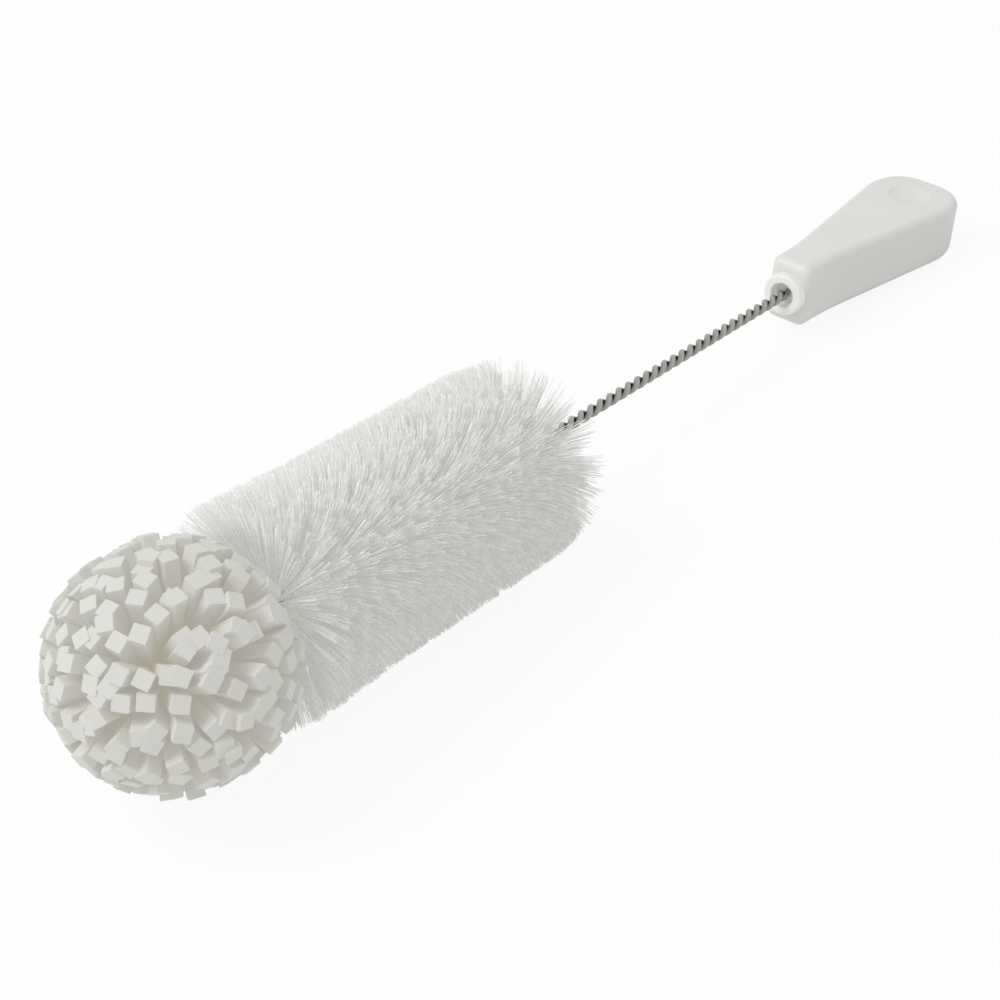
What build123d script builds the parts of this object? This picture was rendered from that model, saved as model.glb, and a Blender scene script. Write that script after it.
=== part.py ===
from build123d import *
import os
from math import asin, atan2, cos, degrees, floor, hypot, pi, radians, sin, sqrt, tan

# A bottle brush that lies on a table. One wire is folded in half at the front, its two legs are
# twisted together, and they grip first the foam ball, then the nylon bristles. The rest of the
# twist is the bare stem, which ends inside a moulded handle behind a round collar.
#
# Sizes are in millimetres. The brush is built straight, along +X, with its axis on the X axis and
# the front of the foam ball at X = 0. lay_down then tips it onto the table, as it comes to rest.

# Whole brush
overall_length = 419.0

# Wire: two legs of one folded wire
wire_diameter = 1.8
leg_gap = 0.25  # the pinched filaments keep the legs this far apart
twist_pitch = 9.8
runs_per_turn = 5  # straight runs that make up one turn of the twist
wire_sides = 5
wire_in_handle = 22.0

# Foam ball: one strip of foam, slit into square fingers and twisted up with the wire
ball_diameter = 63.5
finger_side = 4.76
finger_root_side = 0.6
finger_spacing = 6.75  # between the middles of neighbouring fingers, at the ball's surface
front_ring_angle = 7.5  # from the brush's axis to the first ring of fingers
ring_step_angle = 12.0
ring_count = 13
nose_rings = 3  # the rings in front of the wire's fold
rear_finger_growth = 0.08  # the fingers behind the ball's middle reach a little further out
fingers_to_tufts = 11.0  # along the axis, from the ends of the hindmost fingers to the first tuft
core_length = 21.0  # the strip's uncut middle, packed round the wire
core_radius = 4.4
core_rim = 0.4  # how far the core reaches past the roots of the fingers
core_sides = 8
foam_clearance = 0.3
pinch_width = 0.3  # the crushed foam that passes between the legs and is held by them
pinch_thickness = 0.15
pinch_step = 3.6

# Bristles: tufts of nylon laid across the twist, in bunches that are one node each
bristle_diameter = 60.0
ball_to_tufts = 5.5  # from the back of the ball's round form to the first tuft
tufts_per_turn = 13.4  # not a whole number, so that the tufts of one turn stand between the last's
bunches = 12
tufts_per_bunch = 12
tuft_root_share = 0.9  # of the step from one tuft to the next
tuft_root_thickness = 0.15
tuft_tip_thickness = 6.0
tuft_tip_width = 4.0
front_lean_angle = 16.0  # the first tufts lean forward round the ball, the last ones lean back
rear_lean_angle = 8.0
leaning_length = 26.0

# Handle
handle_length = 97.0
neck_width = 15.4
neck_thickness = 22.5
tail_thickness = 20.5
flare_start = 14.0  # from the neck's face to where its flanks begin to spread
flare_radius = 150.0
shoulder_from_tail = 14.0  # where the flanks' straight lines would meet the tail's
shoulder_width = 34.6
shoulder_radius = 22.0
tail_width = 24.0
tail_corner_radius = 12.5
handle_edge_radius = 3.2
dish_diameter = 15.0
dish_floor_diameter = 10.5
dish_depth = 1.3
dish_from_tail = 17.3

# Collar: a round plug in the handle's neck, with a recess round the wire
collar_diameter = 14.4
collar_stand_out = 3.0
recess_diameter = 8.4
recess_depth = 5.0
shank_diameter = 10.6
shank_length = 16.0
shank_clearance = 0.05
wire_clearance = 0.08

# Sizes that follow from those
ball_radius = ball_diameter / 2
ball_centre = ball_radius
bristle_radius = bristle_diameter / 2
bristle_start = ball_diameter + ball_to_tufts
foam_back = bristle_start - fingers_to_tufts
handle_start = overall_length - handle_length
face_slope = atan2((neck_thickness - tail_thickness) / 2, handle_length)
wire_end = handle_start + wire_in_handle
leg_radius = (wire_diameter + leg_gap) / 2
corner_radius = leg_radius / cos(pi / runs_per_turn)
twist_radius = corner_radius + wire_diameter / 2
wire_bore_radius = twist_radius + wire_clearance
tuft_step = twist_pitch / tufts_per_turn
tuft_places = [bristle_start + i * tuft_step for i in range(bunches * tufts_per_bunch)]


def around(along, radius, turn):
    """The point at a place along the axis, a radius from it and an angle in degrees round it."""
    return Vector(along, radius * cos(radians(turn)), radius * sin(radians(turn)))


def twist_at(along):
    """How far the first leg has turned round the axis, in a left-handed twist.

    The last tuft stands upright, so one of its ends touches the table.
    """
    return -360 * (along - tuft_places[-1]) / twist_pitch


def bore_start():
    """Where the hole for the wire begins, behind the nose of the foam."""
    return finger_root(nose_rings - 1)[0]


def fold_place():
    """Where the wire turns back."""
    return bore_start() + foam_clearance + wire_diameter / 2


def make_wire():
    run = twist_pitch / runs_per_turn
    first = fold_place() + run
    corners = floor((wire_end - first) / run) + 1
    places = [first + i * run for i in range(corners)]
    near_leg = [around(a, corner_radius, twist_at(a)) for a in places]
    far_leg = [around(a, corner_radius, twist_at(a) + 180) for a in places]
    fold_radius = leg_radius * sin(pi / 4)
    fold = [around(fold_place(), fold_radius, twist_at(first) + turn) for turn in (0, 180)]
    path = Polyline(*near_leg[::-1], *fold, *far_leg)
    section = Plane(origin=path @ 0, z_dir=path % 0) * RegularPolygon(wire_diameter / 2, wire_sides)
    return sweep(section, path=path, transition=Transition.RIGHT)


def ring_angle(ring):
    """The angle of a ring of fingers from the front of the axis, in degrees."""
    return front_ring_angle + ring * ring_step_angle


def finger_tip(ring):
    """Where a ring's fingers end: the place along the axis and the radius."""
    angle = radians(ring_angle(ring))
    reach = ball_radius * (1 + rear_finger_growth * max(0, sin(angle - pi / 4)) ** 2)
    if cos(angle) < 0:
        reach = min(reach, (foam_back - ball_centre) / -cos(angle))
    return ball_centre - reach * cos(angle), reach * sin(angle)


def finger_root(ring):
    """Where a ring's fingers leave the core, which is longer than it is wide."""
    angle = radians(ring_angle(ring))
    return ball_centre - core_length / 2 * cos(angle), core_radius * sqrt(sin(angle))


def flared_bar(root, tip, length, shift=0):
    """A bar along +Y whose section grows from one (width, depth) to another and shifts along X."""
    more_width, more_depth = (tip[0] - root[0]) / 2, (tip[1] - root[1]) / 2
    bar = Wedge(
        *(root[0], length, root[1]),
        *(shift - more_width, -more_depth, shift + root[0] + more_width, root[1] + more_depth),
        align=None,
    )
    return Pos(-root[0] / 2, 0, -root[1] / 2) * bar


def ring_of_fingers(ring):
    root, tip = finger_root(ring), finger_tip(ring)
    length = hypot(tip[0] - root[0], tip[1] - root[1])
    sections = (finger_root_side, finger_root_side), (finger_side, finger_side)
    finger = Rot(X=90) * flared_bar(*sections, length)
    count = floor(2 * pi * tip[1] / finger_spacing)
    fingers = []
    for i in range(count):
        turn = 360 * i / count + 17 * ring
        start, end = around(*root, turn), around(*tip, turn)
        roll = Rot(Z=(137.5 * i + 40 * ring) % 90)
        fingers.append(Plane(origin=start, z_dir=end - start) * roll * finger)
    return fingers


def octagon_bar(start, end, radius):
    outline = Plane.YZ.offset(start) * RegularPolygon(radius, core_sides, major_radius=False)
    return extrude(outline, end - start)


def make_core():
    """The uncut middle of the strip, with the bore that the twisted wire runs in."""
    start = finger_root(0)[0] - core_rim
    end = finger_root(ring_count - 1)[0] + core_rim
    bore = twist_radius + foam_clearance
    core = octagon_bar(start, end, core_radius + core_rim) - octagon_bar(bore_start(), end, bore)
    pinched = Box(pinch_width, 2 * bore + core_rim, pinch_thickness)
    pinches = floor((end - fold_place()) / pinch_step)
    places = [end - (i + 0.5) * pinch_step for i in range(pinches)]
    return core.fuse(*(Pos(X=a) * Rot(X=twist_at(a) + 90) * pinched for a in places))


def make_foam():
    rings = [ring_of_fingers(ring) for ring in range(ring_count)]
    return make_core().fuse(*(finger for fingers in rings for finger in fingers))


def tuft_lean(along):
    """How far a tuft leans along the brush, in degrees: forward is negative."""
    front = max(0, 1 - (along - tuft_places[0]) / leaning_length)
    rear = max(0, 1 - (tuft_places[-1] - along) / leaning_length)
    return rear_lean_angle * rear - front_lean_angle * front


def make_tuft(along):
    """One tuft, gripped in its middle between the legs and spreading to both ends."""
    root = tuft_root_share * tuft_step, tuft_root_thickness
    tip = tuft_tip_width, tuft_tip_thickness
    half = flared_bar(root, tip, bristle_radius, bristle_radius * tan(radians(tuft_lean(along))))
    return Pos(X=along) * Rot(X=twist_at(along) + 90) * (half + Rot(X=180) * half)


def make_bunch(bunch):
    """Tufts that follow one another, as separate solids in one node."""
    first = bunch * tufts_per_bunch
    return Compound([make_tuft(place) for place in tuft_places[first : first + tufts_per_bunch]])


def half_thickness(along):
    """From the handle's middle to its broad face."""
    share = (along - handle_start) / handle_length
    return (neck_thickness + (tail_thickness - neck_thickness) * share) / 2


def handle_outline():
    """The handle as seen from above: straight lines with an arc at each of their corners."""
    corners = (
        (0, neck_width / 2, 0),
        (flare_start, neck_width / 2, flare_radius),
        (handle_length - shoulder_from_tail, shoulder_width / 2, shoulder_radius),
        (handle_length, tail_width / 2, tail_corner_radius),
    )
    half = [(handle_start + along, across) for along, across, radius in corners]
    outline = make_face(Polyline(*half, *((x, -y) for x, y in half[::-1]), close=True))
    for along, across, radius in corners[1:]:
        place = handle_start + along
        sharp = [v for v in outline.vertices() if abs(v.X - place) + abs(abs(v.Y) - across) < 1e-6]
        outline = fillet(sharp, radius)
    return outline


def make_handle_half():
    """The upper half. Its broad face slopes down to the tail and its walls are square to it.

    The neck's end is cut off square to the axis, for the collar to stand on.
    """
    block = extrude(handle_outline(), neck_thickness)
    block = fillet(block.faces().sort_by(Axis.Z)[-1].edges(), handle_edge_radius)
    pivot = Pos(handle_start, 0, neck_thickness / 2)
    tilted = pivot * Rot(Y=degrees(face_slope)) * Pos(-handle_start, 0, -neck_thickness) * block
    upper = split(tilted, bisect_by=Plane.XY, keep=Keep.TOP)
    return split(upper, bisect_by=Plane.YZ.offset(handle_start), keep=Keep.TOP)


def make_handle():
    upper = make_handle_half()
    body = upper + mirror(upper, about=Plane.XY) - make_dish()
    socket_length = shank_length + shank_clearance
    socket = Pos(X=handle_start + socket_length / 2) * Rot(Y=90)
    body -= socket * Cylinder(shank_diameter / 2 + shank_clearance, socket_length)
    wire_hole_length = wire_in_handle + 1
    wire_hole = Pos(X=handle_start + wire_hole_length / 2) * Rot(Y=90)
    return body - wire_hole * Cylinder(wire_bore_radius, wire_hole_length)


def make_dish():
    """The room of the round, shallow hollow near the tail."""
    place = overall_length - dish_from_tail
    wall = (dish_diameter - dish_floor_diameter) / 2 / dish_depth
    height = 2 * dish_depth
    top_radius = dish_floor_diameter / 2 + wall * height
    on_its_floor = Align.CENTER, Align.CENTER, Align.MIN
    cone = Cone(dish_floor_diameter / 2, top_radius, height, align=on_its_floor)
    face = Pos(place, 0, half_thickness(place)) * Rot(Y=degrees(face_slope))
    return face * Pos(Z=-dish_depth) * cone


def make_collar():
    face = handle_start - collar_stand_out
    back = handle_start + shank_length
    profile = make_face(
        Polyline(
            (face + recess_depth, wire_bore_radius),
            (face + recess_depth, recess_diameter / 2),
            (face, recess_diameter / 2),
            (face, collar_diameter / 2),
            (handle_start, collar_diameter / 2),
            (handle_start, shank_diameter / 2),
            (back, shank_diameter / 2),
            (back, wire_bore_radius),
            close=True,
        )
    )
    return revolve(profile, Axis.X)


def last_rim():
    """The place of the hindmost bristle tips, which touch the table."""
    return tuft_places[-1] + bristle_radius * tan(radians(rear_lean_angle)) + tuft_tip_width / 2


def resting_tilt():
    """The angle at which the brush lies on its last bristles and the handle's rounded tail."""
    edge_centre = overall_length - handle_edge_radius
    along = edge_centre - last_rim()
    up = bristle_radius - half_thickness(edge_centre) + handle_edge_radius
    return degrees(atan2(up, along) - asin(handle_edge_radius / hypot(along, up)))


def lay_down(part):
    """Tips a piece with the whole brush, with the middle of the brush's footprint at the origin."""
    tilt = radians(resting_tilt())
    height = bristle_radius * cos(tilt) + last_rim() * sin(tilt)
    front = ball_centre * cos(tilt) - ball_radius
    back = overall_length * cos(tilt)
    return Pos(X=-(front + back) / 2, Z=height) * Rot(Y=resting_tilt()) * part


def make_parts():
    parts = {"handle": make_handle(), "collar": make_collar(), "twisted_wire": make_wire()}
    parts["foam_ball"] = make_foam()
    for bunch in range(bunches):
        parts[f"bristle_bunch_{bunch + 1:02d}"] = make_bunch(bunch)
    return parts


os.makedirs("parts", exist_ok=True)
for name, part in make_parts().items():
    placed = lay_down(part)
    placed.label = name
    export_step(placed, f"parts/{name}.step")
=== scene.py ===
# %% [markdown]
# # A bottle brush, piece by piece
#
# The brush has five kinds of piece: a folded and twisted wire, a ball of slit foam, thousands of
# nylon bristles, a moulded handle and a round collar between the handle and the wire. The packed
# CAD model gives the size and place of each of them. This lesson gives them their looks.

# %% Bringing in the CAD model, and hanging pieces on the brush
import math
import random

import bmesh
import bpy
from mathutils import Matrix, Vector
from mathutils.geometry import delaunay_2d_cdt


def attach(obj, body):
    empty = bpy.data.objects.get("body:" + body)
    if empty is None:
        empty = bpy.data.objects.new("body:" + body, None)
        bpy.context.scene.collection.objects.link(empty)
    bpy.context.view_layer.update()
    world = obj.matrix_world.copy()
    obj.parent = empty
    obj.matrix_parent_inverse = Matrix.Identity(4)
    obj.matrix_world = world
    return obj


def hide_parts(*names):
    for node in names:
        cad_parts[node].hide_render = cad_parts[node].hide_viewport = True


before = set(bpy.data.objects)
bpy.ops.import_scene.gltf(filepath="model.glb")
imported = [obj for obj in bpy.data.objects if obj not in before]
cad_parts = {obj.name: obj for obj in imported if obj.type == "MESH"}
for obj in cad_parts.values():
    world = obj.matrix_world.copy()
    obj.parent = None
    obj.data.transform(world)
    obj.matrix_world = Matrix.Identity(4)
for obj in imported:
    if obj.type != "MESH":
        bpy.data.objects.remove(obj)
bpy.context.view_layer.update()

print("CAD nodes:", len(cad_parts))

# %% [markdown]
# ## Where the brush lies
#
# The real brush lies on a table, on its hindmost bristles and on the tail of its handle, so its
# axis is a little tipped. It is easier to make every piece along a straight X axis, with the
# front of the foam ball at zero and sizes in millimetres, and to lay the finished mesh down at
# the end. One matrix does that for every piece. It is applied to the mesh and not to the object,
# because the finished objects have to sit at the origin, unturned and unscaled.

# %% Laying a mesh down
MM = 0.001
TILT = math.radians(4.77306)
FRONT_OF_BALL = Vector((-208.718, 0.0, 44.857)) * MM
LAID_DOWN = Matrix.Translation(FRONT_OF_BALL) @ Matrix.Rotation(TILT, 4, "Y") @ Matrix.Scale(MM, 4)


def lay_down(name, mesh, slot, *nodes):
    """Makes the finished piece: its mesh laid down, riding with the brush in place of CAD nodes."""
    mesh.transform(LAID_DOWN)
    piece = bpy.data.objects.new(name, mesh)
    bpy.context.scene.collection.objects.link(piece)
    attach(piece, "root")
    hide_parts(*nodes)
    print(f"{name}: {sum(len(p.vertices) - 2 for p in mesh.polygons)} triangles")
    return piece


# %% [markdown]
# ## Writing nodes as sums
#
# Materials and Geometry Nodes are both graphs of nodes. A formula such as a helix needs a dozen
# Math nodes, which are hard to read one by one. The class below holds one output of a node, and
# Python's own + - * / on it add the Math nodes. Every other node comes from its `node` method,
# which takes the type, the values or links of the sockets, and the node's settings.


# %% A value in a node tree
class Value:
    def __init__(self, tree, socket=None):
        self.tree, self.socket = tree, socket

    def node(self, kind, inputs=None, out=0, **settings):
        """Adds any node: its settings first, then its sockets. Gives one of its outputs."""
        made = self.tree.nodes.new(kind)
        for name, setting in settings.items():
            setattr(made, name, setting)
        for key, value in (inputs or {}).items():
            if isinstance(value, Value):
                self.tree.links.new(value.socket, made.inputs[key])
            else:
                made.inputs[key].default_value = value
        return Value(self.tree, made.outputs[out])

    def math(self, operation, *values):
        return self.node("ShaderNodeMath", dict(enumerate(values)), operation=operation)

    def __add__(self, other):
        return self.math("ADD", self, other)

    def __sub__(self, other):
        return self.math("SUBTRACT", self, other)

    def __rsub__(self, other):
        return self.math("SUBTRACT", other, self)

    def __mul__(self, other):
        return self.math("MULTIPLY", self, other)

    def __truediv__(self, other):
        return self.math("DIVIDE", self, other)

    __radd__ = __add__
    __rmul__ = __mul__

    def vector(self, x, y, z):
        return self.node("ShaderNodeCombineXYZ", {0: x, 1: y, 2: z})

    def vector_math(self, operation, *values, out=0):
        inputs = dict(enumerate(values))
        return self.node("ShaderNodeVectorMath", inputs, out, operation=operation)

    def scaled(self, factor):
        return self.node("ShaderNodeVectorMath", {0: self, "Scale": factor}, operation="SCALE")

    def clamped(self):
        return self.math("MINIMUM", self.math("MAXIMUM", self, 0.0), 1.0)

    def remapped(self, low, high, new_low, new_high):
        inputs = {"Value": self, 1: low, 2: high, 3: new_low, 4: new_high}
        return self.node("ShaderNodeMapRange", inputs, clamp=True)

    def random(self, low, high, seed, one_for=None):
        """A random number for each item, or the same one for all items of a numbered group."""
        inputs = {2: low, 3: high, "Seed": seed}
        if one_for:
            inputs["ID"] = one_for
        return self.node("FunctionNodeRandomValue", inputs, out=1, data_type="FLOAT")

    def either_way(self, spread, seed, one_for=None):
        return self.random(-spread, spread, seed, one_for)


# %% A material, and a Geometry Nodes tree
def new_material(name, **constants):
    """A Principled material. Values that are the same all over are set on its own sockets."""
    material = bpy.data.materials.new(name)
    material.use_nodes = True
    shader = material.node_tree.nodes["Principled BSDF"]
    for socket, value in constants.items():
        shader.inputs[socket.replace("_", " ")].default_value = value
    start = Value(material.node_tree)
    place = start.node("ShaderNodeTexCoord", out="Object")

    def paint(socket, value):
        material.node_tree.links.new(value.socket, shader.inputs[socket])

    return material, place, paint


def new_tree(name, **sizes):
    """A Geometry Nodes tree with named number inputs. Gives the tree and its inputs as values."""
    tree = bpy.data.node_groups.new(name, "GeometryNodeTree")
    tree.interface.new_socket("Geometry", in_out="INPUT", socket_type="NodeSocketGeometry")
    tree.interface.new_socket("Geometry", in_out="OUTPUT", socket_type="NodeSocketGeometry")
    for size, value in sizes.items():
        kind = "NodeSocketInt" if isinstance(value, int) else "NodeSocketFloat"
        socket = tree.interface.new_socket(size, in_out="INPUT", socket_type=kind)
        socket.default_value = value
    entry = tree.nodes.new("NodeGroupInput")
    return tree, Value(tree), {o.name: Value(tree, o) for o in entry.outputs if o.name}


def end_tree(tree, geometry, material, smooth):
    """Every tree ends in plain geometry, smooth or with flat facets, with its material."""
    plain = geometry.node("GeometryNodeRealizeInstances", {0: geometry})
    shaded = plain.node("GeometryNodeSetShadeSmooth", {0: plain, "Shade Smooth": smooth})
    dressed = shaded.node("GeometryNodeSetMaterial", {0: shaded, "Material": material})
    leave = tree.nodes.new("NodeGroupOutput")
    tree.links.new(dressed.socket, leave.inputs[0])


def grown(tree, seed_mesh=None, **sizes):
    """Runs a tree on a seed mesh, with its named inputs set, and gives the plain mesh."""
    seed = bpy.data.objects.new("seed", seed_mesh or bpy.data.meshes.new("seed"))
    bpy.context.scene.collection.objects.link(seed)
    modifier = seed.modifiers.new("grow", "NODES")
    modifier.node_group = tree
    for item in tree.interface.items_tree:
        if item.in_out == "INPUT" and item.name in sizes:
            modifier[item.identifier] = sizes[item.name]
    graph = bpy.context.evaluated_depsgraph_get()
    mesh = bpy.data.meshes.new_from_object(seed.evaluated_get(graph), depsgraph=graph)
    bpy.data.objects.remove(seed)
    return mesh


# %% [markdown]
# ## The finish of each piece
#
# Nearly everything is white, so the finish has to come from gloss and from small relief. The
# handle is satin plastic with a hint of moulding grain. The wire is steel with fine drawing
# marks, bright outside, with painted shade in the grooves between its coils. The foam is matt,
# with small open cells, and painted warm light makes it lighter and warmer deep between its
# fingers. Nylon is clear and shiny, and a few of the bristles carry a painted highlight.
#
# Light also soaks into the foam, the nylon and the pale plug, and comes out again at their sides.
# Subsurface scattering would be the usual way, but it left dark veins where the foam's fingers
# overlap. A weak glow of the same colour stands in for it.


# %% Noise, relief and a colour between two others
def noise(place, scale, detail):
    inputs = {"Vector": place, "Scale": scale, "Detail": detail}
    return place.node("ShaderNodeTexNoise", inputs)


def relief(height, strength, depth):
    """A fine relief for a Normal socket."""
    inputs = {"Height": height, "Strength": strength, "Distance": depth}
    return height.node("ShaderNodeBump", inputs)


def between(share, first, second):
    colours = {0: share, 6: (*first, 1.0), 7: (*second, 1.0)}
    return share.node("ShaderNodeMix", colours, out=2, data_type="RGBA")


# %% Plastic for the handle and the collar
def plastic(name, colour, roughness, glow):
    material, place, paint = new_material(
        name,
        Specular_IOR_Level=0.45,
        Emission_Color=(*colour, 1.0),
        Emission_Strength=glow,
    )
    cloud = noise(place, 45.0, 2.0)
    paint("Roughness", cloud.remapped(0.3, 0.7, roughness - 0.04, roughness + 0.05))
    paint("Normal", relief(noise(place, 2600.0, 3.0), 0.05, 0.00005))
    paint("Base Color", between(cloud, colour, [c * 0.975 for c in colour]))
    return material


HANDLE_PLASTIC = plastic("white satin plastic", (0.72, 0.715, 0.695), 0.42, 0.0)
COLLAR_PLASTIC = plastic("pale plug plastic", (0.68, 0.675, 0.66), 0.36, 0.20)
print("plastics:", HANDLE_PLASTIC.name, "and", COLLAR_PLASTIC.name)

# %% Drawn steel for the wire
AXIS = LAID_DOWN.to_3x3() @ Vector((1, 0, 0))
AXIS.normalize()
GROOVE_BOTTOM, COIL_TOP = 0.9 * MM, 1.9 * MM  # distances from the brush's axis
GROOVE_SHADE_STEEL, BRIGHT_STEEL = (0.09, 0.085, 0.075), (0.42, 0.41, 0.38)


def off_axis(place):
    """How far a place on the wire is from the brush's axis."""
    from_front = place.vector_math("SUBTRACT", place, FRONT_OF_BALL)
    along = place.vector_math("PROJECT", from_front, AXIS)
    return place.vector_math("DISTANCE", from_front, along, out="Value")


def drawn_steel():
    material, place, paint = new_material("drawn steel", Metallic=1.0)
    # Painted shade: the colour is dark in the grooves near the axis and bright on the coils, under
    # a random stain.
    outside = off_axis(place).remapped(GROOVE_BOTTOM, COIL_TOP, 0.0, 0.75)
    marks, stain = noise(place, 1800.0, 4.0), noise(place, 160.0, 3.0)
    groove_shade_and_stain = (outside + stain * 0.25).clamped()
    paint("Base Color", between(groove_shade_and_stain, GROOVE_SHADE_STEEL, BRIGHT_STEEL))
    paint("Roughness", marks.remapped(0.3, 0.7, 0.16, 0.3))
    paint("Normal", relief(marks, 0.12, 0.00008))
    return material


STEEL = drawn_steel()
print("steel:", STEEL.name)

# %% Open-celled foam
BALL_RADIUS = 31.75
BALL_CENTRE = LAID_DOWN @ Vector((BALL_RADIUS, 0, 0))
DEEP, OUTER = 10 * MM, 29 * MM  # distances from the ball's centre
PAINTED_LIGHT_DEEP_FOAM, OUTER_FOAM = (0.60, 0.53, 0.40), (0.48, 0.48, 0.46)


def foam():
    material, place, paint = new_material(
        "white open foam",
        Roughness=0.95,
        Specular_IOR_Level=0.15,
        Emission_Color=(0.97, 0.945, 0.86, 1.0),
        Emission_Strength=0.19,
    )
    from_centre = place.vector_math("DISTANCE", place, BALL_CENTRE, out="Value")
    # Painted warm light: deep between the fingers, towards the ball's centre, the colour is lighter
    # and warmer.
    depth = from_centre.remapped(DEEP, OUTER, 0.0, 1.0)
    cloud, cells = noise(place, 70.0, 2.0), noise(place, 1900.0, 3.0)
    shade = (depth * 0.8 + cloud * 0.2 + cells * 0.35 - 0.05).clamped()
    paint("Base Color", between(shade, PAINTED_LIGHT_DEEP_FOAM, OUTER_FOAM))
    paint("Normal", relief(cells, 0.5, 0.0003))
    return material


FOAM = foam()
print("foam:", FOAM.name)

# %% Clear white nylon
DULL_NYLON, BRIGHT_NYLON = (0.58, 0.58, 0.56), (0.93, 0.93, 0.92)


def nylon():
    """Each bristle carries a number named glint, which is high on the few that shine: a painted
    highlight.
    """
    material, place, paint = new_material(
        "white nylon",
        Specular_IOR_Level=0.6,
        IOR=1.53,
        Emission_Color=(0.955, 0.95, 0.92, 1.0),
        Emission_Strength=0.205,
    )
    along = noise(place, 420.0, 2.0)
    glint = place.node("ShaderNodeAttribute", attribute_name="glint", out="Fac")
    # Painted highlight: bristles with a high glint get a lighter colour.
    shine = (along * 0.3 + glint * 0.6).clamped()
    paint("Base Color", between(shine, DULL_NYLON, BRIGHT_NYLON))
    paint("Roughness", along.remapped(0.3, 0.7, 0.18, 0.32))
    return material


NYLON = nylon()
print("nylon:", NYLON.name)

# %% [markdown]
# ## The twisted wire
#
# One wire is folded in half at the front of the brush, and its two legs are twisted together, to
# the left. The two legs and the fold are one curve. Along it runs a number s, which is zero at
# the fold. The place along the brush grows with the size of s, and the distance from the axis
# has the sign of s, so the curve crosses the axis at the fold and the legs are always opposite
# each other. Geometry Nodes bends a straight line to that rule and sweeps a circle along it.

# %% The wire's sizes
TWIST_PITCH = 9.8
LAST_TUFT = 173.582  # here the first leg stands at the turn zero
FOLD = 24.0
FOLD_BEND = 1.2  # the smaller, the sharper the wire is bent at the fold
WIRE_END = 343.5
WIRE_SIDES = 12
WIRE = dict(Half_length=WIRE_END - FOLD, Wire_radius=1.0, Leg_radius=1.02, Points=1600)
print("turns of the twist:", round((WIRE_END - FOLD) / TWIST_PITCH, 1))


# %% The wire's tree
def turn_at(x):
    """The twist's angle at a place along the brush, in a left-handed twist."""
    return (x - LAST_TUFT) * (-2 * math.pi / TWIST_PITCH)


def wire_path(start, size, s):
    """The place on the twisted curve for the number s."""
    away = s.math("SQRT", s * s + FOLD_BEND * FOLD_BEND)
    x = size["Fold"] + away - FOLD_BEND
    reach = size["Leg_radius"] * s / away
    turn = turn_at(x)
    return start.vector(x, reach * s.math("COSINE", turn), reach * s.math("SINE", turn))


def wire_tree():
    tree, start, size = new_tree("twisted wire", Fold=FOLD, **WIRE)
    ends = {0: start.vector(size["Half_length"] * -1, 0.0, 0.0)}
    ends[1] = start.vector(size["Half_length"], 0.0, 0.0)
    line = start.node("GeometryNodeCurvePrimitiveLine", ends)
    line = start.node("GeometryNodeResampleCurve", {"Curve": line, "Count": size["Points"]})
    s = start.node("ShaderNodeSeparateXYZ", {0: start.node("GeometryNodeInputPosition")})
    moved = {"Geometry": line, "Position": wire_path(start, size, s)}
    path = start.node("GeometryNodeSetPosition", moved)
    section = {"Resolution": WIRE_SIDES, "Radius": size["Wire_radius"]}
    circle = start.node("GeometryNodeCurvePrimitiveCircle", section, mode="RADIUS")
    swept = {"Curve": path, "Profile Curve": circle, "Fill Caps": True}
    end_tree(tree, start.node("GeometryNodeCurveToMesh", swept), STEEL, smooth=True)
    return tree


# %% The wire
lay_down("wire", grown(wire_tree()), "wire", "twisted_wire")

# %% [markdown]
# ## The foam ball
#
# The real ball is one strip of foam. Slits cut it into square fingers, which stay joined along
# the middle, and the twisting wire throws the fingers out in all directions. It could be
# sculpted, but then each finger would have to be cut by hand. Here the fingers follow the rule
# of the CAD model: rings of fingers round the axis, each from the strip's middle to the ball's
# surface. Python gives one point for each finger, and Geometry Nodes sets the same finger on
# each point, turned, a little bent, and no two alike.

# %% Where the fingers stand
FIRST_RING, RING_STEP, RINGS = 7.0, 12.0, 13  # degrees from the ball's front
RING_ANGLES = [FIRST_RING + RING_STEP * ring for ring in range(RINGS)]
FINGER_SPACING = 6.4
CORE_LENGTH = 21.0
CORE_RADIUS = 4.4
FOAM_BACK = 58.0
REAR_GROWTH = 0.08  # how much longer the fingers grow towards the back of the ball


def finger_ends(angle):
    """A finger's root and tip, each as the place along the axis and the distance from it."""
    reach = BALL_RADIUS * (1 + REAR_GROWTH * max(0, math.sin(angle - math.pi / 4)) ** 2)
    if math.cos(angle) < 0:
        reach = min(reach, (FOAM_BACK - BALL_RADIUS) / -math.cos(angle))
    root = BALL_RADIUS - CORE_LENGTH / 2 * math.cos(angle), CORE_RADIUS * math.sin(angle) ** 0.5
    return root, (BALL_RADIUS - reach * math.cos(angle), reach * math.sin(angle))


# %% No two fingers alike
RING_TURN = 17  # degrees from each ring to the next
FINGER_SEED = 7
TURN_CHANCE = 3  # degrees
LENGTH_CHANCE = (-0.045, 0.01)
LEAN_CHANCE, BEND_CHANCE = 1.0, 1.4


def sideways(chance, aim, spread):
    """A random shift square to a finger, so that it leans and grows no longer."""
    shift = Vector([chance.gauss(0, spread) for _ in range(3)])
    return shift - shift.project(aim)


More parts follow.
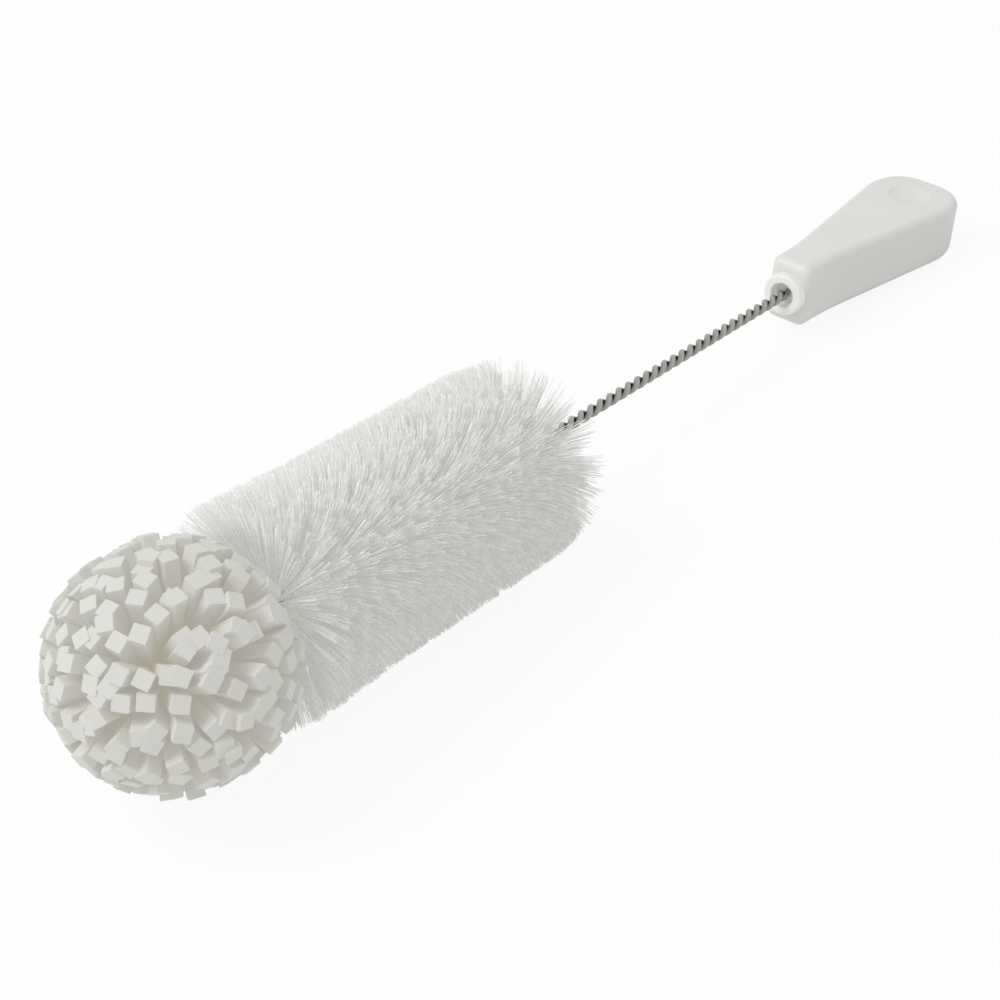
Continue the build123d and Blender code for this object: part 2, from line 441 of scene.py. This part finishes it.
def finger_values():
    """The root, aim, roll and bend of every finger."""
    chance = random.Random(FINGER_SEED)
    fingers = []
    for ring, degrees in enumerate(RING_ANGLES):
        root, tip = finger_ends(math.radians(degrees))
        count = int(2 * math.pi * tip[1] / FINGER_SPACING)
        for i in range(count):
            jitter = chance.uniform(-TURN_CHANCE, TURN_CHANCE)
            turn = math.radians(360 * i / count + RING_TURN * ring + jitter)
            radial = Vector((0, math.cos(turn), math.sin(turn)))
            start = Vector((root[0], 0, 0)) + radial * root[1]
            aim = Vector((tip[0], 0, 0)) + radial * tip[1] - start
            aim *= 1 + chance.uniform(*LENGTH_CHANCE)
            leaning = aim + sideways(chance, aim, LEAN_CHANCE)
            roll = chance.uniform(0, math.pi / 2)
            fingers.append((start, leaning, roll, sideways(chance, aim, BEND_CHANCE)))
    return fingers


# %% A mesh with one point at each finger's root
def finger_points():
    roots, aims, rolls, bends = zip(*finger_values())
    mesh = bpy.data.meshes.new("finger points")
    mesh.from_pydata(roots, [], [])
    for name, values in (("aim", aims), ("bend", bends)):
        layer = mesh.attributes.new(name, "FLOAT_VECTOR", "POINT")
        for item, value in zip(layer.data, values):
            item.vector = value
    layer = mesh.attributes.new("roll", "FLOAT", "POINT")
    for item, value in zip(layer.data, rolls):
        item.value = value
    return mesh


points_of_fingers = finger_points()
print("fingers:", len(points_of_fingers.vertices))

# %% One finger
FINGER_SIDE = 4.6
FINGER_EDGE = 0.22
FINGER_RINGS = (  # the height as a share of the length, and the side
    (0.0, 1.2),
    (0.25, 3.0),
    (0.5, 4.5),
    (0.75, FINGER_SIDE),
    (0.99, FINGER_SIDE),
    (1.0, 4.5),
)


def finger_mesh():
    """A square finger, one unit long: squeezed by its neighbours at the root, cut square."""
    mesh = bmesh.new()
    layers = []
    for height, side in FINGER_RINGS:
        half = side / 2
        cut = half - min(FINGER_EDGE, half * 0.4)
        corners = [(half, -cut), (half, cut), (cut, half), (-cut, half)]
        corners += [(-x, -y) for x, y in corners]
        layers.append([mesh.verts.new((x, y, height)) for x, y in corners])
    for low, high in zip(layers, layers[1:]):
        for i in range(8):
            j = (i + 1) % 8
            mesh.faces.new((low[i], low[j], high[j], high[i]))
    mesh.faces.new(layers[0][::-1])
    mesh.faces.new(layers[-1])
    finger = bpy.data.meshes.new("finger")
    mesh.to_mesh(finger)
    mesh.free()
    return finger


# %% Standing a unit-long piece on each point
def named(start, name, kind="FLOAT"):
    return start.node("GeometryNodeInputNamedAttribute", {"Name": name}, data_type=kind)


def with_value(geometry, name, value, kind="FLOAT"):
    """The geometry with a named value on each of its points."""
    inputs = {"Geometry": geometry, "Name": name, "Value": value}
    return geometry.node("GeometryNodeStoreNamedAttribute", inputs, data_type=kind)


def with_height(piece):
    place = piece.node("GeometryNodeInputPosition")
    return with_value(piece, "height", piece.node("ShaderNodeSeparateXYZ", {0: place}, 2))


def stood(points, piece, rotation, scale, bend=1.0):
    """The piece on each point, as plain geometry, bent the more the higher it is."""
    inputs = {"Points": points, "Instance": piece, "Rotation": rotation, "Scale": scale}
    placed = points.node("GeometryNodeInstanceOnPoints", inputs)
    plain = points.node("GeometryNodeRealizeInstances", {0: placed})
    height = named(points, "height")
    offset = named(points, "bend", "FLOAT_VECTOR").scaled(height * height * bend)
    return points.node("GeometryNodeSetPosition", {"Geometry": plain, "Offset": offset})


# %% The foam's tree
def foam_tree(finger):
    tree, start, size = new_tree("foam fingers", Bend=1.0)
    piece = start.node("GeometryNodeObjectInfo", {"Object": finger}, out="Geometry")
    aim = named(start, "aim", "FLOAT_VECTOR")
    upright = start.node("FunctionNodeAlignRotationToVector", {"Vector": aim}, axis="Z")
    roll = {"Axis": (0.0, 0.0, 1.0), "Angle": named(start, "roll")}
    rolled = start.node("FunctionNodeAxisAngleToRotation", roll)
    turned = {"Rotation": upright, "Rotate By": rolled}
    turned = start.node("FunctionNodeRotateRotation", turned, rotation_space="LOCAL")
    scale = start.vector(1.0, 1.0, start.vector_math("LENGTH", aim, out="Value"))
    bent = stood(size["Geometry"], with_height(piece), turned, scale, size["Bend"])
    end_tree(tree, bent, FOAM, smooth=False)
    return tree


# %% The strip's middle, round the wire
CORE_FRONT = BALL_RADIUS - CORE_LENGTH / 2 + 3.5
CORE_BACK = BALL_RADIUS + CORE_LENGTH / 2
CORE_STEPS = 24
CORE_PROFILE = (  # the place along the brush, and the radius
    (CORE_FRONT, 2.0),
    (CORE_FRONT, 3.6),
    (CORE_FRONT + 3, 4.8),
    (CORE_BACK - 3, 4.8),
    (CORE_BACK, 3.6),
    (CORE_BACK, 2.0),
)


def spun(mesh, profile, steps):
    """Turns a closed profile, given as places along the brush and radii, round the axis."""
    loop = [mesh.verts.new((x, radius, 0)) for x, radius in profile]
    edges = [mesh.edges.new((a, loop[(i + 1) % len(loop)])) for i, a in enumerate(loop)]
    spin = dict(cent=(0, 0, 0), axis=(1, 0, 0), angle=2 * math.pi, steps=steps)
    bmesh.ops.spin(mesh, geom=loop + edges, use_merge=True, **spin)
    bmesh.ops.remove_doubles(mesh, verts=mesh.verts[:], dist=1e-4)
    bmesh.ops.recalc_face_normals(mesh, faces=mesh.faces[:])


def with_core(fingers):
    """Adds the uncut middle of the strip, wound round the wire, to the mesh of the fingers."""
    mesh = bmesh.new()
    spun(mesh, CORE_PROFILE, CORE_STEPS)
    mesh.from_mesh(fingers)
    for face in mesh.faces:
        face.material_index = 0
    mesh.to_mesh(fingers)
    mesh.free()
    fingers.materials.clear()
    fingers.materials.append(FOAM)
    return fingers


# %% The foam ball
finger = bpy.data.objects.new("finger", finger_mesh())
bpy.context.scene.collection.objects.link(finger)
foam_mesh = with_core(grown(foam_tree(finger), points_of_fingers))
bpy.data.objects.remove(finger)
ball = lay_down("foam_fingers", foam_mesh, "foam", "foam_ball")

# %% [markdown]
# ## The bristles
#
# Nylon filaments lie across the wire while it is twisted, so each of them is held in its middle
# and stands out to both sides, and together they follow the twist like a spiral stair. Hair
# particles could draw them, but a hair has no mesh to export. Geometry Nodes makes each half
# filament as a thin three-sided rod of a few faces. A formula gives its place along the brush,
# its turn, its lean and its bend. Each has some chance of its own and some that it shares with
# its clump, because neighbouring filaments cling together, and each chance has a seed number of
# its own. The brush is built in twelve bunches, one for each CAD node, because one mesh of all
# the bristles would be too large.

# %% The bristles' sizes
BRISTLE_START = 69.0
BUNCHES = 12
BUNCH_LENGTH = (LAST_TUFT - BRISTLE_START) / BUNCHES
SEEDS_OF_A_BUNCH = 100
FILAMENTS_IN_CLUMP = 14
BRISTLES = dict(
    First=BRISTLE_START,
    Length=BUNCH_LENGTH,
    Count=3000,
    Chance=1,
    Reach=30.7,
    Filament_radius=0.108,
    Crowding=1.0,
    Thinning=1.0,
)
print("length of a bunch:", round(BUNCH_LENGTH, 2), "mm")

# %% Where a bristle stands along the brush
END_LENGTH = 26.0  # the stretch at either end where the bristles lean
LOOSE_LENGTH = 9.0  # the stretch at the rear where some of them splay


def place_along(start, size, i):
    """Above one, Crowding leaves the front of a bunch sparser, and Thinning its rear."""
    share = (i + start.random(0.0, 1.0, size["Chance"])) / size["Count"]
    share = share.math("POWER", share, size["Thinning"])
    share = 1 - share.math("POWER", 1 - share, size["Crowding"])
    return size["First"] + size["Length"] * share


def near_ends(x):
    """How near a bristle is to the front, to the rear and to the very rear, from 0 to 1."""
    front = (1 - (x - BRISTLE_START) / END_LENGTH).clamped()
    rear = (1 - (LAST_TUFT - x) / END_LENGTH).clamped()
    very_rear = (1 - (LAST_TUFT - x) / LOOSE_LENGTH).clamped()
    return front, rear, very_rear


# %% Its turn round the wire, its lean and its bend
TURN_OWN, TURN_CLUMP = 0.04, 0.65  # radians
FRONT_LEAN, REAR_LEAN, SPLAY = 0.28, 0.02, 0.24
LEAN_OWN, LEAN_CLUMP = 0.02, 0.045
BEND_CLUMP = 0.9


def turn_of(start, seed, i, clump, x):
    side = i.math("MODULO", i, 2.0) * math.pi
    turn = turn_at(x) + side + math.pi / 2 + start.either_way(TURN_OWN, seed + 1)
    return turn + start.either_way(TURN_CLUMP, seed + 8, clump)


def lean_of(start, seed, clump, front, rear, very_rear):
    wild = start.random(0.0, 1.0, seed + 2)
    lean = rear * REAR_LEAN - front * FRONT_LEAN + very_rear * wild * wild * SPLAY
    lean = lean + start.either_way(LEAN_OWN, seed + 3)
    return lean + start.either_way(LEAN_CLUMP, seed + 9, clump)


def bend_of(start, seed, clump, y, z):
    across = start.vector(0.0, z * -1, y).scaled(start.either_way(BEND_CLUMP, seed + 5, clump))
    onward = start.vector(start.either_way(BEND_CLUMP, seed + 6, clump), 0.0, 0.0)
    return start.vector_math("ADD", across, onward)


# %% One bristle
ROD = {"Vertices": 3, "Side Segments": 3, "Depth": 1.0}
TIP_SHARE = 0.85  # the tip's radius, as a share of the root's
GLINT_POWER = 9.0  # the higher, the fewer bristles shine


def rod(start, radius):
    ends = {"Radius Top": radius * TIP_SHARE, "Radius Bottom": radius}
    return with_height(start.node("GeometryNodeMeshCone", {**ROD, **ends}))


def glint_of(start, seed):
    return start.math("POWER", start.random(0.0, 1.0, seed + 7), GLINT_POWER)


# %% The bristles' tree
FRONT_GROWTH, LENGTH_RANGE = 1.4, (-0.9, 0.4)
SPLAY_CUT = 0.05  # keeps the splayed bristles shorter
THIN, THICKER = 0.85, 0.9  # a bristle's width, and what a full glint adds to it


def bristle_tree():
    tree, start, size = new_tree("bristles", **BRISTLES)
    seed, i = size["Chance"], start.node("GeometryNodeInputIndex")
    clump = i.math("FLOOR", i / FILAMENTS_IN_CLUMP)
    x = place_along(start, size, i)
    front, rear, very_rear = near_ends(x)
    turn = turn_of(start, seed, i, clump, x)
    lean = lean_of(start, seed, clump, front, rear, very_rear)
    level, tangent = start.math("COSINE", lean), start.math("SINE", lean)
    y, z = start.math("COSINE", turn), start.math("SINE", turn)
    aim = start.vector(tangent, level * y, level * z)
    upright = start.node("FunctionNodeAlignRotationToVector", {"Vector": aim}, axis="Z")
    reach = size["Reach"] + front * FRONT_GROWTH + start.random(*LENGTH_RANGE, seed + 4)
    length = reach / (level + SPLAY_CUT * very_rear)
    glint = glint_of(start, seed)
    width = THIN + glint * THICKER
    places = {"Count": size["Count"], "Position": start.vector(x, 0.0, 0.0)}
    points = start.node("GeometryNodePoints", places)
    points = with_value(points, "bend", bend_of(start, seed, clump, y, z), "FLOAT_VECTOR")
    points = with_value(points, "glint", glint)
    scale = start.vector(width, width, length)
    bent = stood(points, rod(start, size["Filament_radius"]), upright, scale)
    end_tree(tree, bent, NYLON, smooth=True)
    return tree


# %% The bristles
bristles = bristle_tree()
SPARSER = {0: dict(Crowding=1.25), BUNCHES - 1: dict(Thinning=1.8, Count=2100)}
for bunch in range(BUNCHES):
    first = BRISTLE_START + bunch * BUNCH_LENGTH
    seed = SEEDS_OF_A_BUNCH * bunch
    mesh = grown(bristles, First=first, Chance=seed, **SPARSER.get(bunch, {}))
    number = f"{bunch + 1:02d}"
    lay_down(f"bristles_{number}", mesh, "bristles", f"bristle_bunch_{number}")

# %% [markdown]
# ## The handle
#
# The handle is moulded plastic, flat above and below, with straight flanks that spread from the
# neck to a rounded tail. A box with a bevel would not have its outline. Its outline is drawn
# from straight lines with an arc at each corner, as in the CAD model. The soft edge is then made
# of several outlines inside each other, which step up round a quarter circle. The flat face is
# filled by triangles that leave a round hole for the dish, and the dish is rings of its own.

# %% The outline from above
HANDLE_START = 322.0
HANDLE_LENGTH = 97.0
NECK_HALF, TAIL_HALF = 11.25, 10.25
EDGE = 3.2
CORNERS = (  # along the handle, across it, the corner's radius, and the steps of its arc
    (0.0, 7.7, 3.4, 16),
    (14.0, 7.7, 150.0, 6),
    (83.0, 17.3, 22.0, 16),
    (97.0, 12.0, 12.5, 16),
)


def arc_at(before, corner, after, radius, steps):
    """The points of the arc that rounds a corner."""
    back, on = (before - corner).normalized(), (after - corner).normalized()
    half = back.angle(on) / 2
    middle = corner + (back + on).normalized() * radius / math.sin(half)
    first = corner + back * radius / math.tan(half) - middle
    way = (corner - before).to_2d().cross((after - corner).to_2d())
    turn = math.copysign(math.pi - 2 * half, way)
    points = []
    for i in range(steps + 1):
        step = Matrix.Rotation(turn * i / steps, 2) @ first.to_2d()
        points.append(middle.to_2d() + step)
    return points


def handle_outline():
    """The handle from above, all the way round, anticlockwise."""
    around = [*CORNERS, *((x, -y, radius, n) for x, y, radius, n in reversed(CORNERS))]
    line = [Vector((x, y, 0)) for x, y, _, _ in around]
    points = []
    for i, (_, _, radius, steps) in enumerate(around):
        points += arc_at(line[i - 1], line[i], line[(i + 1) % len(line)], radius, steps)
    return points[::-1]


outline = handle_outline()
print("points on the handle's outline:", len(outline))


# %% Outlines inside each other
SHARPEST = 0.5  # the cosine of half a turn, past which a corner is moved no further


def inset(points, by):
    """The outline moved inwards, with its corners kept square to their edges."""
    moved = []
    for i, point in enumerate(points):
        before = (point - points[i - 1]).normalized()
        after = (points[(i + 1) % len(points)] - point).normalized()
        inwards = (before + after).normalized().orthogonal()
        moved.append(point + inwards * by / max(SHARPEST, math.cos(before.angle(after) / 2)))
    return moved


def top_at(x):
    return NECK_HALF + (TAIL_HALF - NECK_HALF) * x / HANDLE_LENGTH


# %% The dish near the tail
DISH_RINGS = (  # the distance from the dish's middle, and the depth under the face
    (7.9, 0.0), (7.6, 0.03), (7.3, 0.12), (7.0, 0.26), (6.4, 0.55), (5.6, 0.83),
    (4.5, 1.06), (3.2, 1.2), (1.6, 1.28),
)
DISH_PLACE = HANDLE_LENGTH - 17.3
DISH_POINTS = 48


def dish_ring(radius):
    turns = [2 * math.pi * i / DISH_POINTS for i in range(DISH_POINTS)]
    return [Vector((DISH_PLACE + radius * math.cos(t), radius * math.sin(t))) for t in turns]


# %% The handle's mesh
def add_face(mesh, flat, with_dish, side):
    """Closes the top or the bottom with triangles, round the dish if there is one."""
    points = [v.co.to_2d() for v in flat]
    loops = [list(range(len(flat)))]
    made = list(flat)
    if with_dish:
        rim = dish_ring(DISH_RINGS[0][0])
        made += [mesh.verts.new((p.x, p.y, side * top_at(p.x))) for p in rim]
        loops.append(list(range(len(flat), len(made)))[::-1])
        points += rim
    _, _, faces, *_ = delaunay_2d_cdt(points, [], loops, 1, 1e-6)
    hole = Vector((DISH_PLACE, 0))
    for face in faces:
        middle = sum((points[i] for i in face), Vector((0, 0))) / len(face)
        if not with_dish or (middle - hole).length > DISH_RINGS[0][0] * 0.999:
            mesh.faces.new([made[i] for i in face])
    return made[len(flat):]


def add_dish(mesh, ring):
    for radius, depth in DISH_RINGS[1:]:
        lower = [mesh.verts.new((p.x, p.y, top_at(p.x) - depth)) for p in dish_ring(radius)]
        for i in range(DISH_POINTS):
            j = (i + 1) % DISH_POINTS
            mesh.faces.new((ring[i], ring[j], lower[j], lower[i]))
        ring = lower
    mesh.faces.new(ring)


# %% The whole handle
EDGE_STEPS = 9


def handle_mesh():
    mesh = bmesh.new()
    rounds = [i * math.pi / 2 / EDGE_STEPS for i in range(EDGE_STEPS + 1)]
    levels = [(EDGE * (1 - math.cos(a)), EDGE * (1 - math.sin(a)), 1) for a in rounds[::-1]]
    levels += [(EDGE * (1 - math.cos(a)), EDGE * (1 - math.sin(a)), -1) for a in rounds]
    layers = []
    for by, drop, side in levels:
        ring = inset(outline, by)
        layers.append([mesh.verts.new((p.x, p.y, side * (top_at(p.x) - drop))) for p in ring])
    for high, low in zip(layers, layers[1:]):
        for i in range(len(outline)):
            j = (i + 1) % len(outline)
            mesh.faces.new((high[i], low[i], low[j], high[j]))
    add_dish(mesh, add_face(mesh, layers[0], True, 1))
    add_face(mesh, layers[-1], False, -1)
    bmesh.ops.recalc_face_normals(mesh, faces=mesh.faces[:])
    for vertex in mesh.verts:
        vertex.co.x += HANDLE_START
    for face in mesh.faces:
        face.smooth = True
    handle = bpy.data.meshes.new("handle")
    mesh.to_mesh(handle)
    mesh.free()
    return handle


# %% Even shading, and the handle laid down
FACE_WEIGHT = 80


def evened(mesh, material):
    """Gives large flat faces the say over the shading at their edges."""
    carrier = bpy.data.objects.new("carrier", mesh)
    bpy.context.scene.collection.objects.link(carrier)
    modifier = carrier.modifiers.new("even", "WEIGHTED_NORMAL")
    modifier.weight, modifier.keep_sharp = FACE_WEIGHT, True
    graph = bpy.context.evaluated_depsgraph_get()
    plain = bpy.data.meshes.new_from_object(carrier.evaluated_get(graph), depsgraph=graph)
    bpy.data.objects.remove(carrier)
    plain.materials.clear()
    plain.materials.append(material)
    return plain


lay_down("grip", evened(handle_mesh(), HANDLE_PLASTIC), "handle", "handle")

# %% [markdown]
# ## The collar
#
# A round plug closes the neck of the handle, and the wire comes out of a hollow in it. It was
# turned or moulded round one axis, so a profile spun round that axis makes it. Most edges of the
# profile are cut by a small arc, because a real edge always catches some light.

# %% The collar's profile and its spin
COLLAR_FACE = HANDLE_START - 3.0
COLLAR_STEPS, COLLAR_ARC_STEPS = 72, 5
COLLAR_PROFILE = (  # the place behind the collar's face, the radius, and the edge's rounding
    (5.0, 2.08, 0.0),
    (5.0, 3.2, 0.6),
    (0.0, 4.3, 0.6),
    (0.0, 7.2, 0.9),
    (3.4, 7.2, 0.0),
    (3.4, 5.2, 0.0),
    (19.0, 5.2, 0.4),
    (19.0, 2.08, 0.0),
)


def collar_profile():
    corners = [Vector((x, r, 0)) for x, r, _ in COLLAR_PROFILE]
    profile = []
    for i, (_, _, radius) in enumerate(COLLAR_PROFILE):
        if radius:
            after = corners[(i + 1) % len(corners)]
            profile += arc_at(corners[i - 1], corners[i], after, radius, COLLAR_ARC_STEPS)
        else:
            profile.append(corners[i].to_2d())
    return [(COLLAR_FACE + p.x, p.y) for p in profile]


def collar_mesh():
    mesh = bmesh.new()
    spun(mesh, collar_profile(), COLLAR_STEPS)
    for face in mesh.faces:
        face.smooth = True
    collar = bpy.data.meshes.new("collar")
    mesh.to_mesh(collar)
    mesh.free()
    return collar


lay_down("plug", evened(collar_mesh(), COLLAR_PLASTIC), "collar", "collar")

# %% [markdown]
# ## Floor, light and camera
#
# The brush stands before plain white. The floor shows itself to the camera as nearly white and
# keeps a soft shadow, and to the brush it is an ordinary pale floor. One large lamp above and to
# the left and the pale world give soft light at a plain level.

# %% The floor and the world
WHITE = (1.0, 1.0, 1.0, 1.0)
PALE = (0.9, 0.9, 0.9, 1.0)
FLOOR_GLOW = 0.9  # how much of the floor that the camera sees is plain white
ROOM_LIGHT = 0.72
FLOOR_HALF = 3.0


def floor_material():
    material = bpy.data.materials.new("white floor")
    material.use_nodes = True
    tree = material.node_tree
    tree.nodes.clear()
    start = Value(tree)
    matt = start.node("ShaderNodeBsdfDiffuse", {"Color": PALE})
    glow = start.node("ShaderNodeEmission", {"Color": WHITE, "Strength": 1.0})
    seen = start.node("ShaderNodeLightPath", out="Is Camera Ray") * FLOOR_GLOW
    mixed = start.node("ShaderNodeMixShader", {0: seen, 1: matt, 2: glow})
    leave = tree.nodes.new("ShaderNodeOutputMaterial")
    tree.links.new(mixed.socket, leave.inputs["Surface"])
    return material


def white_world():
    world = bpy.data.worlds.new("white room")
    world.use_nodes = True
    tree = world.node_tree
    tree.nodes.clear()
    start = Value(tree)
    camera, glossy, through = (
        start.node("ShaderNodeLightPath", out=f"Is {kind} Ray")
        for kind in ("Camera", "Glossy", "Transmission")
    )
    seen = start.math("MAXIMUM", start.math("MAXIMUM", camera, glossy), through)
    room = start.node("ShaderNodeBackground", {"Color": WHITE, "Strength": ROOM_LIGHT})
    backdrop = start.node("ShaderNodeBackground", {"Color": WHITE, "Strength": 1.0})
    mixed = start.node("ShaderNodeMixShader", {0: seen, 1: room, 2: backdrop})
    leave = tree.nodes.new("ShaderNodeOutputWorld")
    tree.links.new(mixed.socket, leave.inputs["Surface"])
    bpy.context.scene.world = world


# %% The floor
def floor_piece():
    mesh = bpy.data.meshes.new("floor")
    corners = [Vector((x, y, 0.0)) for x, y in ((-1, -1), (1, -1), (1, 1), (-1, 1))]
    mesh.from_pydata([corner * FLOOR_HALF for corner in corners], [], [(0, 1, 2, 3)])
    mesh.materials.append(floor_material())
    piece = bpy.data.objects.new("floor", mesh)
    bpy.context.scene.collection.objects.link(piece)
    return piece


floor = floor_piece()
white_world()
print("floor:", 2 * FLOOR_HALF, "m wide")


# %% The lamps
def lamp(name, place, target, size, watts):
    light = bpy.data.lights.new(name, "AREA")
    light.shape, light.size, light.energy = "DISK", size, watts
    thing = bpy.data.objects.new(name, light)
    bpy.context.scene.collection.objects.link(thing)
    thing.location = place
    thing.rotation_euler = (Vector(target) - Vector(place)).to_track_quat("-Z", "Y").to_euler()


lamp("key lamp", (-0.9, 0.5, 1.3), (0, 0, 0.02), 0.9, 12)

# %% The camera
CAMERA_PLACE = LAID_DOWN @ Vector((-295.36, -331.38, 348.81))
LOOK = LAID_DOWN.to_3x3() @ Vector((0.68669, 0.49158, -0.53554))
RIGHT = LAID_DOWN.to_3x3() @ Vector((0.61682, -0.78386, 0.0714))
FOCAL_PIXELS = 2303.1
PICTURE_PIXELS = 1000
SENSOR = 36.0


def make_camera():
    data = bpy.data.cameras.new("camera")
    data.sensor_width, data.lens = SENSOR, SENSOR * FOCAL_PIXELS / PICTURE_PIXELS
    camera = bpy.data.objects.new("camera", data)
    bpy.context.scene.collection.objects.link(camera)
    look = LOOK.normalized()
    right = (RIGHT - look * RIGHT.dot(look)).normalized()
    up = right.cross(look)
    turned = Matrix((right, up, -look)).transposed().to_4x4()
    camera.matrix_world = Matrix.Translation(CAMERA_PLACE) @ turned
    bpy.context.scene.camera = camera
    print("lens:", round(data.lens, 1), "mm")


make_camera()
bpy.context.scene.view_settings.view_transform = "Standard"
